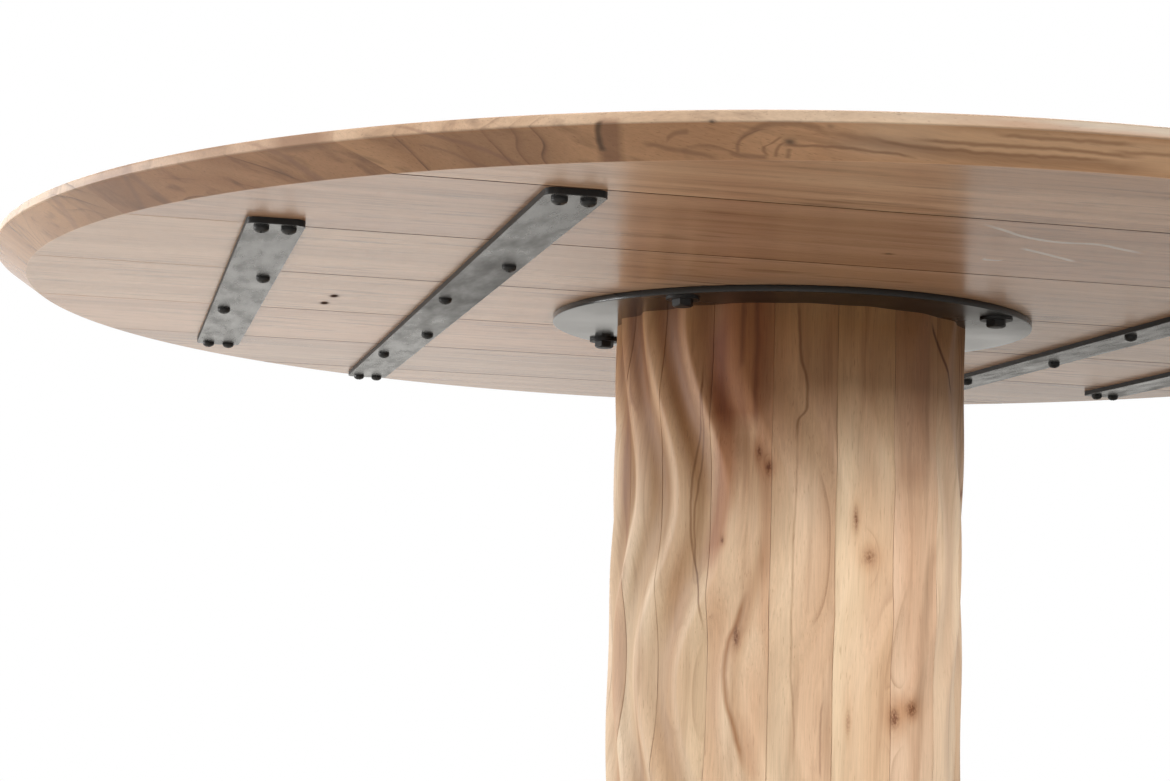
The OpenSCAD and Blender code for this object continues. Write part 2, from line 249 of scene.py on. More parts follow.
line = add(grain, "Math", line, patch, operation="MULTIPLY", use_clamp=True)
# Heartwood and sapwood bands follow the rings and are some 30 mm wide.
band_place = add(grain, "Math", radius, 1 / 30, given.outputs["Seed"], operation="MULTIPLY_ADD")
band = add(grain, "TexNoise", W=band_place, Scale=1.0, Detail=2.0, noise_dimensions="1D")
cloud = add(grain, "TexNoise", Vector=slow, Scale=1.2, Detail=2.0)
tone = add(grain, "Math", band, cloud, operation="ADD")
tone = add(grain, "MapRange", tone, 0.78, 1.25, interpolation_type="SMOOTHSTEP")
# Fibres are drawn 1.4 mm wide, coarser than the real ones, so that they show.
fine = add(grain, "VectorMath", bent, (1 / 60, 1 / 1.4, 1 / 1.4), operation="MULTIPLY")
fibre = add(grain, "TexNoise", Vector=fine, Scale=1.0, Detail=3.0, Roughness=0.6)
open_grain = add(grain, "VectorMath", bent, (1 / 16, 1 / 0.9, 1 / 0.9), operation="MULTIPLY")
pore = add(grain, "TexNoise", Vector=open_grain, Scale=1.0, Detail=1.0)
pore = add(grain, "MapRange", pore, 0.64, 0.76)
base = add(grain, "MixRGB", tone, given.outputs["Light"], given.outputs["Deep"])
fibre_tone = add(grain, "MapRange", fibre, 0.3, 0.7, 1.07, 0.9)
base = add(grain, "VectorMath", base, fibre_tone, operation="MULTIPLY")
line_contrast = given.outputs["Contrast"]
line = add(grain, "Math", line, line_contrast, operation="MULTIPLY", use_clamp=True)
base = add(grain, "MixRGB", line, base, given.outputs["Line"])
# Mineral streaks: long, soft and reddish brown, some 14 mm wide.
mineral = add(grain, "VectorMath", bent, (1 / 190, 1 / 14, 1 / 14), operation="MULTIPLY")
mineral = add(grain, "TexNoise", Vector=mineral, Scale=1.0, Detail=3.0)
mineral = add(grain, "MapRange", mineral, 0.54, 0.74, 0.0, 0.5)
mineral = add(grain, "Math", mineral, line_contrast, operation="MULTIPLY", use_clamp=True)
base = add(grain, "MixRGB", mineral, base, given.outputs["Line"])
pore_share = add(grain, "Math", pore, 0.35, operation="MULTIPLY")
base = add(grain, "MixRGB", pore_share, base, given.outputs["Line"])
height = add(grain, "Math", fibre, pore, operation="SUBTRACT")
add(grain, "NodeGroupOutput", base, height)


def wood_attributes(mesh, seed, tint):
    """Marks a piece with its own place in the tree and its own tint."""
    number = mesh.attributes.new("wood_seed", "FLOAT", "POINT")
    number.data.foreach_set("value", [seed] * len(mesh.vertices))
    stain = mesh.attributes.new("wood_tint", "FLOAT_COLOR", "POINT")
    stain.data.foreach_set("color", colour(tint) * len(mesh.vertices))


def streak(tree, along, side, points, width, soft=1.0):
    """Streak through the points (along, side): 1 within its width, 0 beside it and at its tips."""
    points = sorted(points)
    low, high = points[0][0], points[-1][0]
    left = min(p[1] for p in points)
    right = max(max(p[1] for p in points), left + 1)
    curve = add(tree, "FloatCurve", out=None)
    line = curve.mapping.curves[0].points
    shares = [((a - low) / (high - low), (b - left) / (right - left)) for a, b in points]
    line[0].location = shares[0]
    line[1].location = shares[-1]
    for share in shares[1:-1]:
        line.new(*share)
    curve.mapping.update()
    way = add(tree, "MapRange", along, low, high)
    tree.links.new(way, curve.inputs["Value"])
    middle = add(tree, "MapRange", curve.outputs[0], 0.0, 1.0, left, right)
    off = add(tree, "Math", side, middle, operation="SUBTRACT")
    off = add(tree, "Math", off, operation="ABSOLUTE")
    body = add(tree, "MapRange", off, width / 2, width / 2 + soft, 1.0, 0.0)
    start = add(tree, "MapRange", way, 0.0, 0.12)
    end = add(tree, "MapRange", way, 1.0, 0.88)
    body = add(tree, "Math", body, start, operation="MULTIPLY")
    return add(tree, "Math", body, end, operation="MULTIPLY")


SHARP = radians(35)


def settle(name, shape, finish, slot, *nodes, flat_above=None):
    """Makes a shape a piece that rides on the table and stands for the CAD nodes.

    Faces larger than flat_above, in square metres, are shaded flat.
    """
    mesh = bpy.data.meshes.new(name)
    bmesh.ops.recalc_face_normals(shape, faces=shape.faces)
    for face in shape.faces:
        face.smooth = flat_above is None or face.calc_area() < flat_above
    for edge in shape.edges:
        edge.smooth = edge.calc_face_angle(0.0) < SHARP
    shape.to_mesh(mesh)
    shape.free()
    mesh.materials.append(finish)
    made = bpy.data.objects.new(name, mesh)
    bpy.context.scene.collection.objects.link(made)
    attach(made, "root")
    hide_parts(*nodes)
    return made


# The lacquered planks are a pale warm brown, and at a low angle the room veils them.
top_wood = empty_finish("acacia planks, satin lacquer")
tree = top_wood.node_tree
metres = add(tree, "TexCoord", out=3)
mm = add(tree, "VectorMath", metres, (1000, 1000, 1000), operation="MULTIPLY")
seed = add(tree, "Attribute", attribute_name="wood_seed", out=2)
tint = add(tree, "Attribute", attribute_name="wood_tint", out=0)
xyz = add(tree, "SeparateXYZ", mm, out=None)
# Each plank has its own middle line, and its tree's heart lies 100 to 200 mm under it.
plank_share = add(tree, "Math", xyz.outputs[1], PLANK_COUNT / 2 * PLANK_MM, operation="ADD")
plank_share = add(tree, "Math", plank_share, PLANK_MM, operation="MODULO")
heart_side = add(tree, "Math", seed, -260.0, 20.0, operation="MULTIPLY_ADD")
plank_y = add(tree, "Math", plank_share, heart_side, operation="ADD")
heart_depth = add(tree, "Math", seed, 90.0, -640.0, operation="MULTIPLY_ADD")
plank_z = add(tree, "Math", xyz.outputs[2], heart_depth, operation="ADD")
plank_place = add(tree, "CombineXYZ", xyz.outputs[0], plank_y, plank_z)
# Knots: place in mm, reach of the swirl round them, size and darkness of their heart.
knots = [
    ((-232, -698, 742), 19, 3.0, 0.8),
    ((-283, -694, 752), 3, 1.5, 0.8),
    ((-211, -716, 750), 8, 2.0, 0.4),
    ((-48, -392, 733), 4, 2.5, 0.9),
    ((310, -480, 760), 24, 6.0, 0.9),
    ((-420, 260, 760), 20, 5.0, 0.8),
    ((90, 610, 760), 14, 4.0, 0.7),
    ((520, 120, 760), 22, 6.0, 0.9),
    ((-120, -60, 760), 12, 3.0, 0.6),
    ((-600, -180, 760), 16, 4.0, 0.8),
    ((230, 330, 760), 10, 3.0, 0.7),
    ((640, 395, 744), 12, 3.0, 0.8),
]
swirl = 0.0
heart = 0.0
for centre, reach, core_size, dark in knots:
    near = spot(tree, mm, centre, (1.5 * reach, reach, reach))
    swirl = add(tree, "Math", near, 1.6 * reach, swirl, operation="MULTIPLY_ADD")
    core = spot(tree, mm, centre, (1.4 * core_size, core_size, core_size))
    heart = add(tree, "Math", core, dark, heart, operation="MULTIPLY_ADD")
out_mm = add(tree, "VectorMath", mm, (1, 1, 0), operation="MULTIPLY")
out_mm = add(tree, "VectorMath", out_mm, operation="LENGTH", out=1)
below_top = add(tree, "MapRange", xyz.outputs[2], TOP_MM - 0.2, TOP_MM - 0.4)
on_rim = add(tree, "MapRange", out_mm, BEVEL_MM - 0.1, BEVEL_MM + 0.4)
on_rim = add(tree, "Math", on_rim, below_top, operation="MULTIPLY")
contrast = add(tree, "MapRange", on_rim, 0.0, 1.0, 0.5, 1.1)
wood = add(
    tree, "Group", out=None, node_tree=grain, Place=plank_place, Seed=seed, Contrast=contrast,
    Light=colour("#ecc4a1"), Deep=colour("#d4aa87"), Line=colour("#684530"), Knot=swirl,
)
top_colour = add(tree, "MixRGB", 1.0, wood.outputs["Colour"], tint, blend_type="MULTIPLY")
top_colour = add(tree, "MixRGB", heart, top_colour, colour("#3a2519"))
# Soft dark flecks of the flat faces, some 90 mm long and 12 mm wide, lie in loose groups. They
# are fainter on the upper face, which is sanded finer.
fleck = add(tree, "VectorMath", plank_place, (1 / 90, 1 / 12, 1 / 12), operation="MULTIPLY")
fleck = add(tree, "TexNoise", Vector=fleck, Scale=1.0, Detail=3.0)
fleck_share = add(tree, "MapRange", xyz.outputs[2], UNDER_MM + 7, TOP_MM - 4, 0.55, 0.22)
fleck = add(tree, "MapRange", fleck, 0.53, 0.72, 0.0, fleck_share)
group_place = add(tree, "VectorMath", plank_place, (1 / 260, 1 / 60, 1 / 60), operation="MULTIPLY")
group = add(tree, "TexNoise", Vector=group_place, Scale=1.0, Detail=1.0)
group = add(tree, "MapRange", group, 0.42, 0.56)
fleck = add(tree, "Math", fleck, group, operation="MULTIPLY")
flat_face = add(tree, "Math", 1.0, on_rim, operation="SUBTRACT")
fleck = add(tree, "Math", fleck, flat_face, operation="MULTIPLY")
top_colour = add(tree, "MixRGB", fleck, top_colour, colour("#75503a"))
# The upright rim is end grain for the most part. Its colour is painted a cool blue grey, stronger
# towards the right, as a painted reflection of the white surround.
on_fascia = add(tree, "MapRange", out_mm, RIM_MM - 1.2, RIM_MM - 0.5)
on_fascia = add(tree, "Math", on_fascia, below_top, operation="MULTIPLY")
painted_sky_tint = add(tree, "MapRange", xyz.outputs[0], -420, -60)
painted_sky_tint = add(tree, "MixRGB", painted_sky_tint, colour("#dbe6ee"), colour("#b2c7d7"))
fascia_reflection_tint = add(tree, "MixRGB", on_fascia, colour("#ffffff"), painted_sky_tint)
top_colour = add(tree, "MixRGB", 1.0, top_colour, fascia_reflection_tint, blend_type="MULTIPLY")
# The bevel is painted a little darker and browner than the flat faces, as painted shade of its
# downward slope.
on_bevel = add(tree, "Math", on_rim, on_fascia, operation="SUBTRACT", use_clamp=True)
bevel_shade_tint = add(tree, "MixRGB", on_bevel, colour("#ffffff"), colour("#cfc3b1"))
top_colour = add(tree, "MixRGB", 1.0, top_colour, bevel_shade_tint, blend_type="MULTIPLY")
# Heartwood streaks, cut lengthwise, and a resin crack with a brown halo show on the near rim.
round_mm = add(tree, "Math", xyz.outputs[1], xyz.outputs[0], operation="ARCTAN2")
round_mm = add(tree, "Math", round_mm, RIM_MM, operation="MULTIPLY")
# The streaks drift by up to 1.5 mm.
drift = add(tree, "TexNoise", Vector=mm, Scale=0.05, Detail=2.0)
drift = add(tree, "Math", drift, 3.0, -1.5, operation="MULTIPLY_ADD")
rim_up = add(tree, "Math", xyz.outputs[2], drift, operation="ADD")
rim_round = add(tree, "Math", round_mm, drift, operation="ADD")
lengthwise = [
    # colour, strength, width and softness in mm, points: mm round the rim, height in mm
    ("#d3b08c", 0.45, 10.0, 8.0, [(-1400, 745), (-1300, 744), (-1220, 743), (-1080, 742)]),
    (
        "#754a2b", 0.45, 1.6, 3.2,
        [(-1410, 748), (-1380, 745), (-1348, 741), (-1311, 738.5), (-1260, 737), (-1163, 736.5)],
    ),
    ("#694126", 0.60, 0.4, 0.9, [(-1426, 740.5), (-1399, 740), (-1376, 739), (-1333, 735.5)]),
    ("#8a6242", 0.50, 1.6, 2.0, [(-1299, 755), (-1259, 754), (-1218, 753), (-1130, 754)]),
    (
        "#6e4a31", 0.50, 1.0, 1.8,
        [(-1455, 741), (-1444, 747), (-1428, 751), (-1412, 751), (-1393, 746)],
    ),
    ("#6e4a31", 0.50, 0.8, 1.4, [(-1517, 742), (-1491, 738), (-1465, 734)]),
    ("#6e4a31", 0.45, 1.2, 1.4, [(-1500, 742), (-1495, 746), (-1483, 748)]),
    ("#6a4631", 0.45, 1.0, 1.2, [(-1460, 737), (-1446, 735), (-1432, 734.5)]),
    ("#6a4227", 0.55, 0.6, 1.2, [(-1345, 745), (-1300, 743.5), (-1240, 743), (-1180, 742)]),
    ("#6a4227", 0.50, 0.6, 1.2, [(-1290, 749), (-1240, 748), (-1190, 748.5)]),
    ("#6a4227", 0.50, 0.6, 1.0, [(-1372, 746.5), (-1340, 741.5), (-1290, 739.5), (-1200, 739)]),
    ("#6a4227", 0.45, 0.6, 1.2, [(-1210, 745), (-1170, 744), (-1130, 744.5), (-1090, 744)]),
]
crosswise = [
    # colour, strength, width and softness in mm, points: height in mm, mm round the rim
    ("#694126", 0.55, 0.6, 1.8, [(735, -1432), (739, -1436), (741, -1431), (745, -1424)]),
    ("#694126", 0.55, 0.6, 1.8, [(734, -1428), (738.6, -1427), (742, -1421)]),
    ("#5a3a26", 0.45, 0.8, 2.2, [(733.5, -1420.5), (739, -1419)]),
    ("#6e4a31", 0.50, 0.8, 1.6, [(736, -1453), (743, -1451), (746.6, -1443), (749, -1427)]),
    ("#6a4631", 0.30, 50.0, 40.0, [(720, -1612), (754, -1612)]),
    ("#8a6448", 0.75, 30.0, 16.0, [(748, -1765), (768, -1765)]),
    ("#9a7452", 0.40, 40.0, 30.0, [(748, -1285), (768, -1285)]),
    ("#7d5a44", 0.45, 60.0, 50.0, [(718, -2000), (758, -2000)]),
    ("#6e452c", 0.60, 9.0, 6.0, [(725, -1541), (756, -1535)]),
    ("#40270f", 0.80, 1.4, 2.6, [(738, -1543), (744, -1544.5), (754, -1540)]),
    ("#7d5a44", 0.50, 4.0, 4.0, [(762, -1948), (742, -1940), (728, -1925)]),
    ("#7d5a44", 0.45, 3.0, 4.0, [(762, -1948), (747, -1957), (728, -1975)]),
    ("#86604a", 0.45, 4.0, 4.0, [(760, -1815), (745, -1782), (730, -1765)]),
    ("#86604a", 0.50, 3.0, 4.0, [(760, -1690), (748, -1648), (732, -1600)]),
    ("#7d5a44", 0.40, 2.5, 3.0, [(748, -1675), (737, -1641), (728, -1620)]),
    ("#86604a", 0.40, 6.0, 5.0, [(765, -2060), (747, -2074), (728, -2096)]),
]
marks = [(rim_round, rim_up, mark) for mark in lengthwise]
marks += [(rim_up, rim_round, mark) for mark in crosswise]
for along, side, (code, strength, width, soft, points) in marks:
    mark = streak(tree, along, side, points, width, soft)
    mark = add(tree, "Math", mark, strength, operation="MULTIPLY")
    mark = add(tree, "Math", mark, on_rim, operation="MULTIPLY")
    top_colour = add(tree, "MixRGB", mark, top_colour, colour(code))
# Scratches in the lacquer of the underside, pale and thin.
under_side = add(tree, "MapRange", xyz.outputs[2], UNDER_MM + 0.4, UNDER_MM + 0.2)
scratches = [
    [(-29, -534), (-10, -521), (36, -492), (59, -488), (79, -491), (108, -480), (134, -468)],
    [(36, -455), (64, -439), (102, -415)],
    [(28, -404), (37, -397), (46, -403)],
]
for points in scratches:
    scratch = streak(tree, xyz.outputs[0], xyz.outputs[1], points, 2.5, 3.0)
    scratch = add(tree, "Math", scratch, under_side, operation="MULTIPLY")
    scratch = add(tree, "Math", scratch, 0.85, operation="MULTIPLY")
    top_colour = add(tree, "MixRGB", scratch, top_colour, colour("#f0e4d6"))
# Glue and dust show dark in each seam of the underside.
off_middle = add(tree, "Math", plank_share, PLANK_MM / 2, operation="SUBTRACT")
off_middle = add(tree, "Math", off_middle, operation="ABSOLUTE")
seam_line = add(tree, "MapRange", off_middle, PLANK_MM / 2 - 1.4, PLANK_MM / 2 - 1.0)
near_under = add(tree, "MapRange", xyz.outputs[2], UNDER_MM + 1.6, UNDER_MM + 1.3)
seam_line = add(tree, "Math", seam_line, near_under, operation="MULTIPLY")
seam_line = add(tree, "Math", seam_line, flat_face, operation="MULTIPLY")
# At the left end the seams are filled and hardly show.
unfilled = add(tree, "MapRange", xyz.outputs[0], -560, -480, 0.15, 1.0)
seam_line = add(tree, "Math", seam_line, unfilled, operation="MULTIPLY")
# Two small chips in the middle planks are as dark. Neither seams nor chips have a gloss.
bare = seam_line
for centre in ((-447, 60, 733), (-443, 12, 733)):
    chip = spot(tree, mm, centre, (3.4, 8.0, 3.0))
    bare = add(tree, "Math", chip, 1.8, bare, operation="MULTIPLY_ADD", use_clamp=True)
bump = add(tree, "Bump", 0.25, 0.0002, Height=wood.outputs["Height"])
# End grain drinks the lacquer, so the upright rim is duller.
top_rough = add(tree, "MapRange", on_fascia, 0.0, 1.0, 0.225, 0.55)
lacquer = add(
    tree, "BsdfPrincipled", Base_Color=top_colour, Roughness=top_rough, IOR=1.5, Normal=bump
)
dusty = add(tree, "BsdfDiffuse", colour("#4a3020"))
add(tree, "OutputMaterial", add(tree, "MixShader", bare, lacquer, dusty))

bevel_angle = atan2(TOP_Z - UNDER_Z - FASCIA_H, BEVEL_W)
arris_r = ARRIS_EASE / tan((pi / 2 - bevel_angle) / 2)
arris_z = UNDER_Z + (TOP_Z - UNDER_Z - FASCIA_H) + ARRIS_EASE
# Narrow strips beside each rounding keep its shading off the flat faces.
STRIP = 0.0005
slope = Vector((cos(bevel_angle), sin(bevel_angle)))
bevel_start = Vector((TOP_R - BEVEL_W, UNDER_Z))
arris_start = Vector(
    (TOP_R - arris_r + arris_r * sin(bevel_angle), arris_z - arris_r * cos(bevel_angle))
)
section = [bevel_start, bevel_start + slope * STRIP, arris_start - slope * STRIP, arris_start]
for step in range(1, 5):
    angle = bevel_angle - pi / 2 + (pi / 2 - bevel_angle) * step / 4
    section.append((TOP_R - arris_r + arris_r * cos(angle), arris_z + arris_r * sin(angle)))
section += [(TOP_R, arris_z + STRIP), (TOP_R, TOP_Z - RIM_EASE - STRIP)]
for step in range(7):
    angle = pi / 2 * step / 6
    section.append(
        (TOP_R - RIM_EASE + RIM_EASE * cos(angle), TOP_Z - RIM_EASE + RIM_EASE * sin(angle))
    )
section.append((TOP_R - RIM_EASE - STRIP, TOP_Z))
RIM_SIDES = 360
disc = bmesh.new()
bmesh.ops.create_circle(disc, cap_ends=True, segments=RIM_SIDES, radius=section[0][0])
bmesh.ops.translate(disc, verts=disc.verts, vec=(0, 0, UNDER_Z))
edge = disc.edges[:]
for (r0, z0), (r1, z1) in zip(section, section[1:]):
    made = bmesh.ops.extrude_edge_only(disc, edges=edge)["geom"]
    edge = [g for g in made if isinstance(g, bmesh.types.BMEdge)]
    ring = [g for g in made if isinstance(g, bmesh.types.BMVert)]
    bmesh.ops.scale(disc, verts=ring, vec=(r1 / r0, r1 / r0, 1))
    bmesh.ops.translate(disc, verts=ring, vec=(0, 0, z1 - z0))
bmesh.ops.holes_fill(disc, edges=edge)

# Seeds a golden share apart put neighbouring pieces far from each other in the wood.
GOLDEN_SHARE = 0.618
plank_tints = ["#fff6ee", "#ecdfd6", "#fbf4ec", "#fff8f0", "#fff3ea", "#f1e9e4", "#fdf4ee"]
for i in range(PLANK_COUNT):
    plank = disc.copy()
    low = (i - PLANK_COUNT / 2) * PLANK_W
    sides = [(y, side) for y, side in ((low, -1), (low + PLANK_W, 1)) if abs(y) < TOP_R]
    for y, side in sides:
        everything = plank.verts[:] + plank.edges[:] + plank.faces[:]
        bmesh.ops.bisect_plane(
            plank, geom=everything, plane_co=(0, y, 0), plane_no=(0, side, 0), clear_outer=True
        )
        bmesh.ops.holes_fill(plank, edges=[e for e in plank.edges if e.is_boundary])
    # The plank's long lower arrises are eased, and two of them make the line of a seam.
    arrises = [
        e for e in plank.edges
        if all(v.co.z < UNDER_Z + 1e-6 for v in e.verts)
        and any(all(abs(v.co.y - y) < 1e-6 for v in e.verts) for y, side in sides)
    ]
    bmesh.ops.bevel(
        plank, geom=arrises, offset=SEAM_EASE, affect="EDGES", segments=1, profile=0.5, material=-1
    )
    made = settle(
        f"top_plank_{i + 1}", plank, top_wood, "top_wood", f"plank_{i + 1}", flat_above=1e-3
    )
    wood_attributes(made.data, 0.13 + GOLDEN_SHARE * i % 1, plank_tints[i])
disc.free()

# Steel bars: four flat bars of hot-rolled steel with rounded corners, blackened and lacquered.
# They keep the planks flat and are screwed on across them.
# The lacquered mill scale is a dark, cloudy grey that turns pale at a low angle.
bar_steel = empty_finish("blackened flat bar")
tree = bar_steel.node_tree
metres = add(tree, "TexCoord", out=3)
# Mill scale: blotches of about 20 mm, drawn out along the bar, and specks of 3 mm.
blotch_place = add(tree, "VectorMath", metres, (55, 15, 55), operation="MULTIPLY")
blotch = add(tree, "TexNoise", Vector=blotch_place, Scale=1.0, Detail=4.0, Roughness=0.58)
speck = add(tree, "TexNoise", Vector=metres, Scale=330.0, Detail=2.0)
scale_tone = add(tree, "MapRange", blotch, 0.38, 0.64)
bar_colour = add(tree, "MixRGB", scale_tone, colour("#21201f"), colour("#3a3a39"))
bar_rough = add(tree, "MapRange", blotch, 0.3, 0.7, 0.35, 0.16)
# The long bar at the left is duller along its middle.
dull = spot(tree, metres, (-0.337, -0.12, 0.73), (0.05, 0.24, 0.05))
bar_rough = add(tree, "Math", dull, 0.16, bar_rough, operation="MULTIPLY_ADD")
# The upright sides are coloured near black and made duller, partly for their black paint and partly
# as painted shade of the unlit sides.
facing = add(tree, "SeparateXYZ", add(tree, "TexCoord", out=1), out=None)
side_paint_and_shade = add(tree, "Math", facing.outputs[2], operation="ABSOLUTE")
side_paint_and_shade = add(tree, "MapRange", side_paint_and_shade, 0.6, 0.4)
bar_colour = add(tree, "MixRGB", side_paint_and_shade, bar_colour, colour("#0b0a0a"))
bar_rough = add(tree, "MixRGB", side_paint_and_shade, bar_rough, (0.5, 0.5, 0.5, 1))
bump = add(tree, "Bump", 0.15, 0.0002, Height=speck)
coat = add(
    tree, "BsdfPrincipled", Base_Color=bar_colour, Roughness=bar_rough, IOR=1.42, Normal=bump
)
add(tree, "OutputMaterial", coat)

BAR_CORNER = 0.008
STEEL_EASE = 0.0006
for name in ("long_bar_left", "long_bar_right", "short_bar_left", "short_bar_right"):
    low, high = (Vector(corner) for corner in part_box(name))
    size = high - low
    bar = bmesh.new()
    bmesh.ops.create_grid(bar, x_segments=1, y_segments=1, size=0.5)
    bmesh.ops.scale(bar, verts=bar.verts, vec=(size.x, size.y, 1))
    bmesh.ops.bevel(
        bar, geom=bar.verts[:], offset=BAR_CORNER, affect="VERTICES", segments=8, profile=0.5,
        material=-1,
    )
    lowered = bmesh.ops.extrude_face_region(bar, geom=bar.faces[:])["geom"]
    lowered = [v for v in lowered if isinstance(v, bmesh.types.BMVert)]
    bmesh.ops.translate(bar, verts=lowered, vec=(0, 0, -size.z))
    edges = [e for e in bar.edges if all(v in lowered for v in e.verts)]
    bmesh.ops.bevel(
        bar, geom=edges, offset=STEEL_EASE, affect="EDGES", segments=3, profile=0.5, material=-1
    )
    middle = (low + high) / 2
    bmesh.ops.translate(bar, verts=bar.verts, vec=(middle.x, middle.y, high.z))
    settle(name + "_steel", bar, bar_steel, "coated_steel", name, flat_above=1e-4)

# Bar screws: black pan-head wood screws with a domed head and a cross recess, 28 in all.
# They hold the bars up against the planks.
# Black zinc looks like soot with a dull sheen, uneven by dust.
black_zinc = empty_finish("black zinc screw")
tree = black_zinc.node_tree
metres = add(tree, "TexCoord", out=3)
# The dust lies in specks of 1.4 mm.
dust = add(tree, "TexNoise", Vector=metres, Scale=700.0, Detail=2.0)
screw_colour = add(tree, "MixRGB", dust, colour("#090808"), colour("#161413"))
screw_rough = add(tree, "MapRange", dust, 0.3, 0.7, 0.42, 0.56)
plating = add(
    tree, "BsdfPrincipled", Base_Color=screw_colour, Roughness=screw_rough, IOR=1.5
)
add(tree, "OutputMaterial", plating)


def refinish(node, finish):
    """Gives a CAD node, whose own mesh stays, the finish of the real piece."""
    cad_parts[node].data.materials.clear()
    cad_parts[node].data.materials.append(finish)


for node in ("bar_screws", "plate_bolts", "plate_washers"):
    refinish(node, black_zinc)

# Mounting plate: a round plate of mild steel with a semi-gloss black powder coat, screwed to the
# column's head and bolted to the top through four holes.
# Powder coat is near black from the front and a grey mirror of the room at a low angle.
powder = empty_finish("black powder coat")
tree = powder.node_tree
metres = add(tree, "TexCoord", out=3)
# Orange peel of about 2 mm, and a haze of handling marks some 60 mm across.
peel = add(tree, "TexNoise", Vector=metres, Scale=450.0, Detail=2.0)
haze = add(tree, "TexNoise", Vector=metres, Scale=16.0, Detail=3.0)
powder_rough = add(tree, "MapRange", haze, 0.3, 0.7, -0.04, 0.04)
# The coat is duller towards the front of the plate.
front = add(tree, "SeparateXYZ", metres, out=None)
front = add(tree, "MapRange", front.outputs[1], -0.17, -0.02, 0.34, 0.13)
powder_rough = add(tree, "Math", powder_rough, front, operation="ADD")
powder_colour = add(tree, "MixRGB", haze, colour("#0d0c0b"), colour("#141210"))
bump = add(tree, "Bump", 0.12, 0.0001, Height=peel)
coat = add(
    tree, "BsdfPrincipled", Base_Color=powder_colour, Roughness=powder_rough, IOR=1.5, Normal=bump
)
add(tree, "OutputMaterial", coat)


PLATE_SIDES = 256


def steel_disc(radius, low, high, rounding):
    """Round plate with rounded edges."""
    made = bmesh.new()
    bmesh.ops.create_circle(made, cap_ends=True, segments=PLATE_SIDES, radius=radius)
    bmesh.ops.translate(made, verts=made.verts, vec=(0, 0, low))
    raised = bmesh.ops.extrude_face_region(made, geom=made.faces[:])["geom"]
    raised = [v for v in raised if isinstance(v, bmesh.types.BMVert)]
    bmesh.ops.translate(made, verts=raised, vec=(0, 0, high - low))
    rims = [e for e in made.edges if abs(e.verts[0].co.z - e.verts[1].co.z) < 1e-6]
    bmesh.ops.bevel(
        made, geom=rims, offset=rounding, affect="EDGES", segments=3, profile=0.5, material=-1
    )
    return made


PLATE_R = 0.231
PLATE_T = 0.006
PLATE_Z = UNDER_Z - PLATE_T
settle(
    "mounting_plate_steel", steel_disc(PLATE_R, PLATE_Z, UNDER_Z, STEEL_EASE), powder,
    "coated_steel", "mounting_plate", flat_above=1e-4,
)

# Hidden fixings: beech dowels in the seams, zinc-plated inserts in the planks, and zinc-plated
# countersunk screws that hold the two steel plates to the discs in the column's ends.
# Zinc is a pale, slightly yellow metal with a fine bloom.
zinc = empty_finish("bright zinc plating")
tree = zinc.node_tree
metres = add(tree, "TexCoord", out=3)
# The bloom is drawn in specks of 2 mm, coarser than the real one, so that it shows.
bloom = add(tree, "TexNoise", Vector=metres, Scale=500.0, Detail=2.0)
zinc_colour = add(tree, "MixRGB", bloom, colour("#a9a79c"), colour("#c9c7bd"))
plating = add(tree, "BsdfPrincipled", Base_Color=zinc_colour, Roughness=0.35, Metallic=1.0)
add(tree, "OutputMaterial", plating)

# Beech is even and pinkish, with flecks 1 mm wide and 8 mm long along its grain.
plain_wood = empty_finish("plain beech")
tree = plain_wood.node_tree
metres = add(tree, "TexCoord", out=3)
fleck_place = add(tree, "VectorMath", metres, (900, 120, 900), operation="MULTIPLY")
fleck = add(tree, "TexNoise", Vector=fleck_place, Scale=1.0, Detail=3.0)
beech_colour = add(tree, "MixRGB", fleck, colour("#c39a72"), colour("#d9b48c"))
planed = add(tree, "BsdfPrincipled", Base_Color=beech_colour, Roughness=0.6, IOR=1.5)
add(tree, "OutputMaterial", planed)

for node, finish in (
    ("plank_dowels", plain_wood),
    ("column_top_disc", plain_wood),
    ("column_bottom_disc", plain_wood),
    ("threaded_inserts", zinc),
    ("plate_screws", zinc),
    ("foot_screws", zinc),
):
    refinish(node, finish)

# Column: 18 acacia staves glued into a tube. Waves are carved over the seams: crests that swing
# from side to side as they climb, with smooth hollows between. The lacquer is satin.
COL_R = 0.1685
COL_LOW = 0.011
STAVE_COUNT = 18
STAVE_PITCH = 360 / STAVE_COUNT
STAVE_TURN = 7.1
STAVE_T = 0.028
# Of the 19 crests each swings 9 degrees to either side, once in 335 mm of height, and lags a
# little behind the next. The hollows are deepest at DEEP_TURN and opposite it.
WAVE_COUNT = 19
WAVE_PITCH = 360 / WAVE_COUNT
WAVE_DEPTH = 0.0052
WAVE_UNEVEN = 0.4
WAVE_SWING = 9
WAVE_LEN = 0.335
WAVE_Z = 0.545
WAVE_LAG = radians(45)
WAVE_TURN = 18
WAVE_POWER = 1.4
LAG_TURN = 225
DEEP_TURN = 205
# The carver's hand makes hollows deeper or shallower by up to a third.
HAND_SHARE = 0.35
# The carving is nearly flat round FLAT_TURN, from FLAT_LOW upwards.
FLAT_TURN = 239
FLAT_SPREAD = 13
FLAT_LOW = 0.61
FLAT_FADE = 0.06
FLAT_SHARE = 0.75

# Sanded acacia under a thin lacquer is pale straw to pinkish brown, with a soft sheen.
column_wood = empty_finish("acacia staves, satin lacquer")
tree = column_wood.node_tree
metres = add(tree, "TexCoord", out=3)
xyz = add(tree, "SeparateXYZ", metres, out=None)
seed = add(tree, "Attribute", attribute_name="wood_seed", out=2)
tint = add(tree, "Attribute", attribute_name="wood_tint", out=0)
turn = add(tree, "Math", xyz.outputs[1], xyz.outputs[0], operation="ARCTAN2")
turn = add(tree, "Math", turn, 180 / pi, operation="MULTIPLY")
out_mm = add(tree, "VectorMath", metres, (1000, 1000, 0), operation="MULTIPLY")
out_mm = add(tree, "VectorMath", out_mm, operation="LENGTH", out=1)
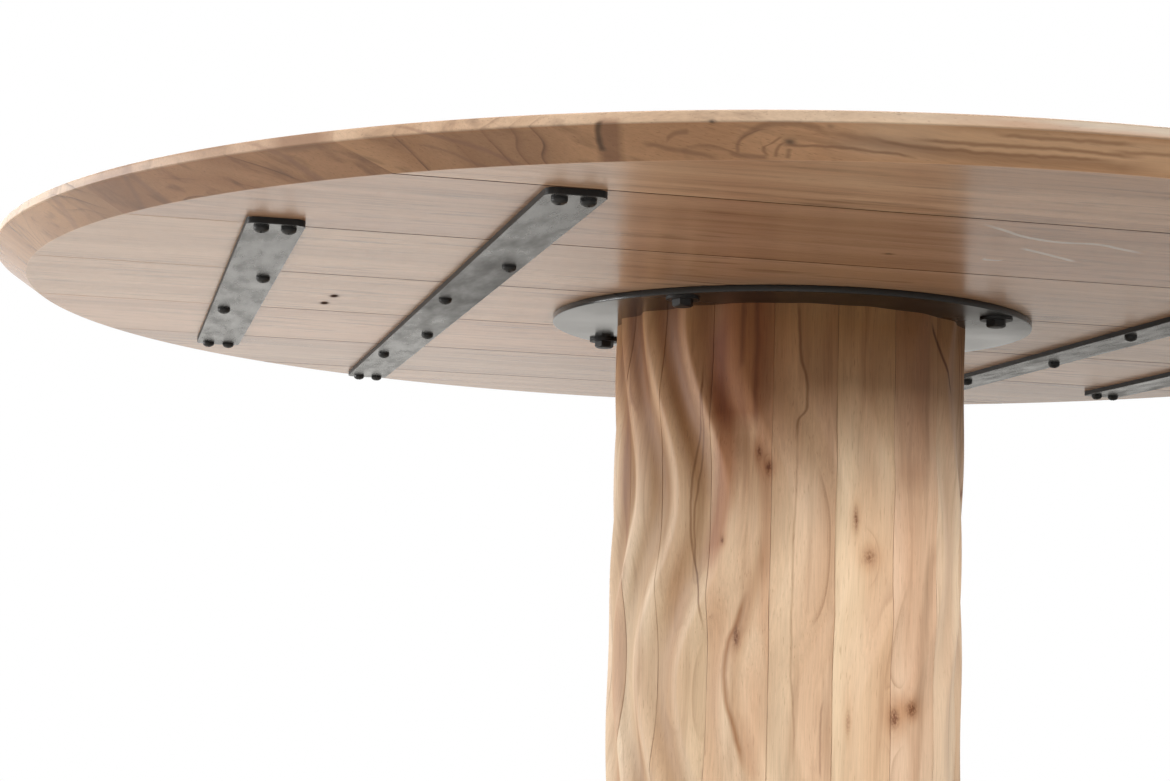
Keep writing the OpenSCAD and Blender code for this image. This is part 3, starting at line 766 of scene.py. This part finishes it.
# Height in mm, from 0 at the table's top surface down, and the way round the face in mm.
up_mm = add(tree, "Math", xyz.outputs[2], 1000.0, -1000 * TOP_Z, operation="MULTIPLY_ADD")
FACE_MM = 168
MM_PER_DEGREE = pi / 180 * FACE_MM
round_mm = add(tree, "Math", turn, MM_PER_DEGREE, operation="MULTIPLY")
# The heart of each stave's tree lies 70 mm under its face.
HEART_MM = 70
stave_share = add(tree, "Math", turn, 360 - STAVE_TURN, operation="ADD")
stave_share = add(tree, "Math", stave_share, STAVE_PITCH, operation="MODULO")
HALF_STAVE = STAVE_PITCH / 2
side_mm = add(
    tree, "Math", stave_share, MM_PER_DEGREE, -HALF_STAVE * MM_PER_DEGREE,
    operation="MULTIPLY_ADD",
)
heart_side = add(tree, "Math", seed, 60.0, -30.0, operation="MULTIPLY_ADD")
side_place = add(tree, "Math", side_mm, heart_side, operation="ADD")
depth_place = add(tree, "Math", out_mm, HEART_MM - FACE_MM, operation="ADD")
stave_place = add(tree, "CombineXYZ", up_mm, side_place, depth_place)
# Knots: turn in degrees, height in mm, reach of the swirl, width and height of the heart in mm
# and its darkness.
knots = [
    (-81.5, -258, 9, 6, 6, 0.6), (-86.6, -225, 3, 2.2, 10, 0.75), (-71.5, -400, 9, 4.4, 8, 0.9),
    (-65, -392, 10, 6.2, 6.4, 0.95), (-117, -168, 6, 2.2, 6, 0.8), (-113.9, -181, 6, 2.4, 5, 1.0),
    (-123, -332, 7, 3, 8, 0.9), (-128, -247, 4, 1.6, 3, 0.7), (-88, -405, 5, 1.6, 12, 0.4),
    (-20, -190, 9, 4, 4, 0.8), (14, -420, 12, 5, 5, 0.7), (38, -120, 7, 3, 3, 0.9),
    (66, -560, 10, 4, 5, 0.8), (95, -300, 9, 4, 4, 0.7), (121, -90, 6, 2, 4, 0.9),
    (140, -480, 12, 5, 5, 0.6), (165, -230, 8, 3, 4, 0.8), (-98, -610, 9, 4, 4, 0.8),
    (-140, -560, 7, 3, 3, 0.9), (-40, -650, 10, 4, 5, 0.6), (30, -680, 8, 3, 4, 0.8),
]
flat_place = add(tree, "CombineXYZ", round_mm, up_mm, 0.0)
# Bark and rot make the heart patchy, in patches of about 2 mm.
patchy = add(tree, "VectorMath", flat_place, (1 / 2, 1 / 3, 0), operation="MULTIPLY")
patchy = add(tree, "TexNoise", Vector=patchy, Scale=1.0, Detail=2.0)
patchy = add(tree, "MapRange", patchy, 0.3, 0.6, 0.35, 1.5)
swirl = 0.0
halo = 0.0
heart = 0.0
for knot_turn, height, reach, core_width, core_height, dark in knots:
    centre = (knot_turn * MM_PER_DEGREE, height, 0)
    near = spot(tree, flat_place, centre, (reach, 2.2 * reach, 1))
    swirl = add(tree, "Math", near, 1.7 * reach, swirl, operation="MULTIPLY_ADD")
    around = spot(tree, flat_place, centre, (2.5 * core_width, 2.2 * core_height, 1))
    halo = add(tree, "Math", around, dark, halo, operation="MULTIPLY_ADD")
    core = spot(tree, flat_place, centre, (core_width, core_height, 1))
    heart = add(tree, "Math", core, dark, heart, operation="MULTIPLY_ADD")
heart = add(tree, "Math", heart, patchy, operation="MULTIPLY", use_clamp=True)
wood = add(
    tree, "Group", out=None, node_tree=grain, Place=stave_place, Seed=seed, Contrast=0.75,
    Light=colour("#e0c8ab"), Deep=colour("#c9a586"), Line=colour("#8a5f3c"), Knot=swirl,
)
stave_colour = add(tree, "MixRGB", 1.0, wood.outputs["Colour"], tint, blend_type="MULTIPLY")
# The head is painted a deeper brown, as painted shade under the top, and the painted shade reaches
# further down at turns below -108 degrees.
head_low = add(tree, "MapRange", turn, -108, -88, -225, -165)
top_shade_share = add(tree, "MapRange", up_mm, head_low, -50.0)
head_shade_tint = add(tree, "MixRGB", top_shade_share, colour("#ffffff"), colour("#deb890"))
stave_colour = add(tree, "MixRGB", 1.0, stave_colour, head_shade_tint, blend_type="MULTIPLY")
# The hollows are darker, partly by stain gathered there and partly as painted shade of the carved
# relief, most of all the deep ones at the left and high up; the crests keep the plain colour.
deepest = add(tree, "Math", turn, pi / 180, radians(160), operation="MULTIPLY_ADD")
deepest = add(tree, "Math", deepest, operation="COSINE")
deepest = add(tree, "MapRange", deepest, 0.82, 0.96, 0.2, 1.0)
stain_and_shade_reach = add(tree, "MapRange", up_mm, -330, -190, 0.35, 1.0)
stain_and_shade_reach = add(tree, "Math", stain_and_shade_reach, deepest, operation="MULTIPLY")
crest_mm = 1000 * COL_R
hollow = add(
    tree, "MapRange", out_mm, crest_mm - 0.6, crest_mm - 6.1, interpolation_type="SMOOTHSTEP"
)
hollow = add(tree, "Math", hollow, stain_and_shade_reach, operation="MULTIPLY")
stave_colour = add(tree, "MixRGB", hollow, stave_colour, colour("#bba27e"), blend_type="MULTIPLY")
stave_colour = add(tree, "MixRGB", halo, stave_colour, colour("#dcc5ae"), blend_type="MULTIPLY")
stave_colour = add(tree, "MixRGB", heart, stave_colour, colour("#a08060"), blend_type="MULTIPLY")
# Streaks of heartwood in the staves at the front, darker by a stain. They waver by about 1 mm.
waver = add(tree, "VectorMath", flat_place, (1 / 40, 1 / 40, 0), operation="MULTIPLY")
waver = add(tree, "TexNoise", Vector=waver, Scale=1.0, Detail=3.0)
waver = add(tree, "Math", waver, 5.0, round_mm, operation="MULTIPLY_ADD")
waver = add(tree, "Math", waver, 2.5, operation="SUBTRACT")
heartwood = [
    # stain, strength, width in mm, softness in mm, points: height in mm, turn in degrees
    ("#cba888", 0.85, 34, 14, [(5, -123), (-50, -123), (-110, -124), (-150, -126)]),
    (
        "#cfab92", 0.85, 9, 10,
        [
            (-40, -131), (-105, -131), (-139, -128.5), (-177, -127.5), (-205, -128), (-236, -130),
            (-280, -134),
        ],
    ),
    ("#a98f7a", 0.60, 1.5, 3, [(-20, -118.5), (-60, -118), (-105, -118.5), (-150, -117)]),
    ("#a98f7a", 0.50, 1.2, 3, [(-20, -123), (-50, -122.5), (-95, -123.5)]),
    (
        "#c0a488", 0.50, 3, 10,
        [(-235, -114), (-320, -120), (-350, -123.5), (-380, -123.5), (-410, -121), (-480, -114)],
    ),
    (
        "#c0a488", 0.90, 1, 4,
        [(-290, -120), (-320, -123), (-350, -126.5), (-380, -126), (-410, -123), (-450, -119.5)],
    ),
    ("#ddd0c8", 0.60, 30, 10, [(-10, -65), (-90, -64), (-150, -64), (-205, -67)]),
    ("#d8d2cc", 0.75, 4, 8, [(-235, -53), (-300, -58), (-345, -60.5), (-405, -62.5)]),
    ("#8a7058", 0.85, 1.8, 2.2, [(-38, -56.5), (-65, -51.5), (-85, -47), (-104, -43)]),
    (
        "#a58764", 0.65, 0.7, 1.3,
        [(-90, -135.5), (-150, -137.5), (-200, -139.5), (-240, -139.5), (-280, -137), (-325, -134)],
    ),
    (
        "#a58764", 0.60, 0.6, 1.2,
        [(-75, -136), (-150, -136), (-200, -137.5), (-240, -138.5), (-300, -135.5), (-335, -133.5)],
    ),
    (
        "#9c8068", 0.65, 1.0, 1.6,
        [(-25, -106), (-80, -104.5), (-110, -102.5), (-126, -102.5), (-140, -105), (-160, -105.2)],
    ),
    (
        "#b0967a", 0.42, 0.6, 1.2,
        [(-140, -105), (-200, -105.3), (-260, -106), (-350, -106), (-390, -105.3), (-445, -104.5)],
    ),
    ("#9c8068", 0.50, 0.7, 1.2, [(-385, -95.5), (-420, -96.5), (-455, -96)]),
]
for code, strength, width, soft, points in heartwood:
    points = [(height, angle * MM_PER_DEGREE) for height, angle in points]
    mark = streak(tree, up_mm, waver, points, width, soft)
    mark = add(tree, "Math", mark, strength, operation="MULTIPLY")
    stave_colour = add(tree, "MixRGB", mark, stave_colour, colour(code), blend_type="MULTIPLY")
# Glue line between two staves.
glue = add(tree, "Math", stave_share, HALF_STAVE, operation="SUBTRACT")
glue = add(tree, "Math", glue, operation="ABSOLUTE")
glue = add(tree, "MapRange", glue, HALF_STAVE - 0.17, HALF_STAVE - 0.07)
# It shows here and there only.
glue_luck = add(tree, "VectorMath", flat_place, (1 / 25, 1 / 70, 0), operation="MULTIPLY")
glue_luck = add(tree, "TexNoise", Vector=glue_luck, Scale=1.0, Detail=2.0)
glue_luck = add(tree, "MapRange", glue_luck, 0.35, 0.65, 0.1, 0.75)
glue = add(tree, "Math", glue, glue_luck, operation="MULTIPLY")
stave_colour = add(tree, "MixRGB", glue, stave_colour, colour("#6e4a30"))
# Faint chatter of the carving cutter, 5 mm apart along the stave.
chatter = add(tree, "VectorMath", flat_place, (1 / 45, 1 / 5, 0), operation="MULTIPLY")
chatter = add(tree, "TexNoise", Vector=chatter, Scale=1.0, Detail=1.0)
relief = add(tree, "Math", chatter, 0.8, wood.outputs["Height"], operation="MULTIPLY_ADD")
bump = add(tree, "Bump", 0.3, 0.0002, Height=relief)
lacquer = add(
    tree, "BsdfPrincipled", Base_Color=stave_colour, Roughness=0.6, IOR=1.45, Normal=bump
)
add(tree, "OutputMaterial", lacquer)


def carved_radius(angle, z):
    """Distance from the column's axis to the carved face, at an angle in degrees."""
    lag = WAVE_LAG * sin(radians(angle - LAG_TURN))
    crest = WAVE_TURN + WAVE_SWING * cos(2 * pi * (z - WAVE_Z) / WAVE_LEN + lag)
    depth = WAVE_DEPTH * (1 + WAVE_UNEVEN * cos(radians(2 * (angle - DEEP_TURN))))
    hand = noise.noise((6 * cos(radians(angle)), 6 * sin(radians(angle)), 9 * z))
    depth *= 1 + HAND_SHARE * hand
    high = min(max((z - FLAT_LOW) / FLAT_FADE, 0), 1)
    depth *= 1 - FLAT_SHARE * high * exp(-(((angle - FLAT_TURN) / FLAT_SPREAD) ** 2))
    return COL_R - depth * abs(sin(pi * (angle - crest) / WAVE_PITCH)) ** WAVE_POWER


# A stave's face has 42 by 240 quads. The outermost strips are narrow and fall back by 0.4 mm, as
# an eased arris.
ACROSS = 42
UP = 240
EASING = 0.0004
EASE_SHARE = 0.008
stave_tints = [
    "#f6efe8", "#ffffff", "#f3eee6", "#fff6ee", "#f0e9e2", "#fffaf4", "#f6efe8", "#ffffff",
    "#f3eee6", "#fafaf6", "#f6f5ee", "#fffdf8", "#fffffa", "#fefbf2", "#fffcfa", "#fdfcfa",
    "#f0e9e2", "#fffaf4",
]
for k in range(STAVE_COUNT):
    stave = bmesh.new()
    bmesh.ops.create_grid(stave, x_segments=ACROSS, y_segments=UP, size=0.5)
    face_verts = stave.verts[:]
    first = STAVE_TURN + k * STAVE_PITCH
    for vert in face_verts:
        column = round((vert.co.x + 0.5) * ACROSS)
        share = min(max((column - 1) / (ACROSS - 2), 0), 1)
        if column in (1, ACROSS - 1):
            share += EASE_SHARE if column == 1 else -EASE_SHARE
        angle = first + STAVE_PITCH * share
        z = COL_LOW + (PLATE_Z - COL_LOW) * (vert.co.y + 0.5)
        radius = carved_radius(angle, z) - (EASING if column in (0, ACROSS) else 0)
        vert.co = (radius * cos(radians(angle)), radius * sin(radians(angle)), z)
    back = bmesh.ops.extrude_face_region(stave, geom=stave.faces[:])["geom"]
    middle = radians(first + STAVE_PITCH / 2)
    flat = COL_R - STAVE_T
    for vert in back:
        if isinstance(vert, bmesh.types.BMVert):
            angle = atan2(vert.co.y, vert.co.x)
            radius = flat / cos(angle - middle)
            vert.co = (radius * cos(angle), radius * sin(angle), vert.co.z)
    bmesh.ops.dissolve_faces(stave, faces=[g for g in back if isinstance(g, bmesh.types.BMFace)])
    made = settle(
        f"carved_stave_{k + 1}", stave, column_wood, "column_wood", f"stave_{k + 1}",
        flat_above=1e-5,
    )
    wood_attributes(made.data, 0.07 + GOLDEN_SHARE * k % 1, stave_tints[k])

# Foot: a round plate of mild steel, powder coated like the mounting plate and screwed on from
# below, on eight hard rubber glides.
FOOT_R = 0.350
FOOT_LOW = 0.003
FOOT_EASE = 0.002
settle(
    "foot_plate_steel", steel_disc(FOOT_R, FOOT_LOW, COL_LOW, FOOT_EASE), powder, "coated_steel",
    "foot_plate", flat_above=1e-4,
)
# Hard rubber is dark grey and dull, with paler scuffs of 7 mm.
rubber = empty_finish("hard rubber")
tree = rubber.node_tree
metres = add(tree, "TexCoord", out=3)
scuff = add(tree, "TexNoise", Vector=metres, Scale=150.0, Detail=3.0)
rubber_colour = add(tree, "MixRGB", scuff, colour("#2c2a28"), colour("#3b3936"))
moulded = add(tree, "BsdfPrincipled", Base_Color=rubber_colour, Roughness=0.7, IOR=1.5)
add(tree, "OutputMaterial", moulded)
refinish("floor_glides", rubber)
